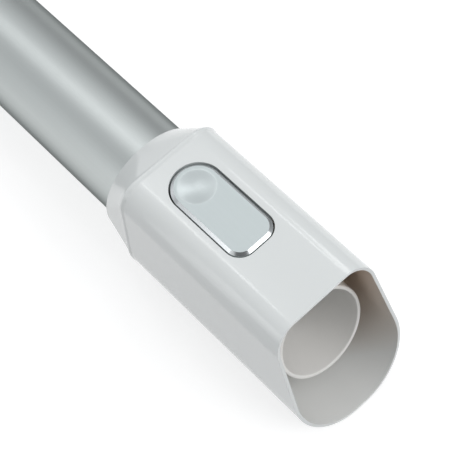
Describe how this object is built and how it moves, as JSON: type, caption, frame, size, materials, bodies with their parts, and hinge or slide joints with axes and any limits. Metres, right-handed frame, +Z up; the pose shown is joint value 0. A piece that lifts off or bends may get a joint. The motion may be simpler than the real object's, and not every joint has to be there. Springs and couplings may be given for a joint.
{
  "type": "telescopic vacuum wand",
  "caption": "Telescopic vacuum cleaner wand: a thumb slide locks the notched inner tube, and a coupling with a slanted mouth, spigot and latch button takes the hose handle.",
  "frame": {"origin": "on the tubes' axis, at the middle of the spigot's slanted end inside the coupling's mouth", "axes": "+X along the wand, out of the coupling's mouth; +Z up, through the release button; +Y across"},
  "size_m": [0.6151, 0.045, 0.0595],
  "materials": {
    "shell_plastic": "glossy cool white",
    "liner_plastic": "warm white, satin",
    "button_aluminium": "satin face with a polished bevel",
    "silver_plastic": "silver lacquer",
    "inner_plastic": "dull grey",
    "tube_aluminium": "satin anodised",
    "steel": "bright",
    "seal_rubber": "matt",
    "felt": "felt"
  },
  "bodies": {
    "wand": {"coupling_shell": "shell_plastic", "spigot_liner": "liner_plastic", "lever_pin": "steel", "lever_spring": "steel", "outer_tube": "tube_aluminium", "guide_bush": "inner_plastic", "collar_body": "shell_plastic", "collar_cover": "shell_plastic", "end_cap": "shell_plastic", "wiper_ring": "felt", "slider_spring": "steel"},
    "inner": {"inner_tube": "tube_aluminium", "piston_bush": "inner_plastic", "piston_seal": "seal_rubber"},
    "slider": {"lock_slider": "silver_plastic"},
    "pawl": {"lock_pawl": "steel", "pawl_pin": "steel"},
    "lever": {"latch_lever": "inner_plastic", "release_button": "button_aluminium"}
  },
  "joints": [
    {"name": "telescope_slide", "type": "slide", "parent": "wand", "child": "inner", "axis": [-1, 0, 0], "range_m": [0, 0.36]},
    {"name": "lock_slide", "type": "slide", "parent": "wand", "child": "slider", "axis": [1, 0, 0], "range_m": [0, 0.008], "stiffness_N_per_m": 400, "springref_m": -0.008, "deforming": ["slider_spring"]},
    {"name": "pawl_lift", "type": "slide", "parent": "wand", "child": "pawl", "axis": [0, 0, 1], "range_m": [0, 0.0022]},
    {"name": "release_press", "type": "hinge", "parent": "wand", "child": "lever", "pos_m": [-0.031, 0, 0.021], "axis": [0, -1, 0], "range_deg": [0, 5], "stiffness_Nm_per_rad": 0.3, "springref_deg": -5.73, "deforming": ["lever_spring"]}
  ],
  "couplings": [
    {"joint": "pawl_lift", "follows": "lock_slide", "ratio": 0.275}
  ]
}
